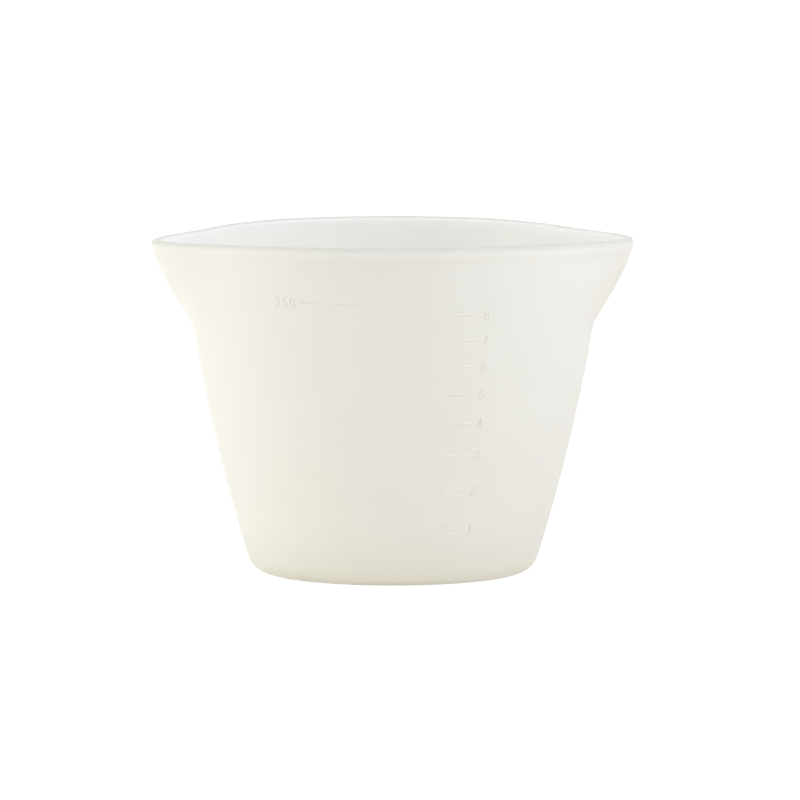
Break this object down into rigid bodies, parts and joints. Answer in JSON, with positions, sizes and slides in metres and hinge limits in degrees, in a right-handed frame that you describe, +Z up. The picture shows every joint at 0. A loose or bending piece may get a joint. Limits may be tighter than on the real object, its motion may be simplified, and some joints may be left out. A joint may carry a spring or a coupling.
{
  "type": "resin mixing cup",
  "caption": "Tapered milky mixing cup with a rounded foot, a pour lip on each side and a raised volume scale on the front.",
  "frame": {"origin": "centre of the flat underside, on the surface that the cup stands on", "axes": "+Z up through the mouth, X from lip to lip, -Y towards the raised scale"},
  "size_m": [0.1036, 0.0914, 0.0732],
  "materials": {
    "silicone": "milky translucent moulded silicone, satin",
    "raised_scale": "the same moulded silicone, in low relief"
  },
  "bodies": {
    "root": {"cup_shell": "silicone", "ounce_lines": "raised_scale", "ounce_numerals": "raised_scale", "fill_line": "raised_scale", "fill_numerals": "raised_scale"}
  },
  "joints": []
}
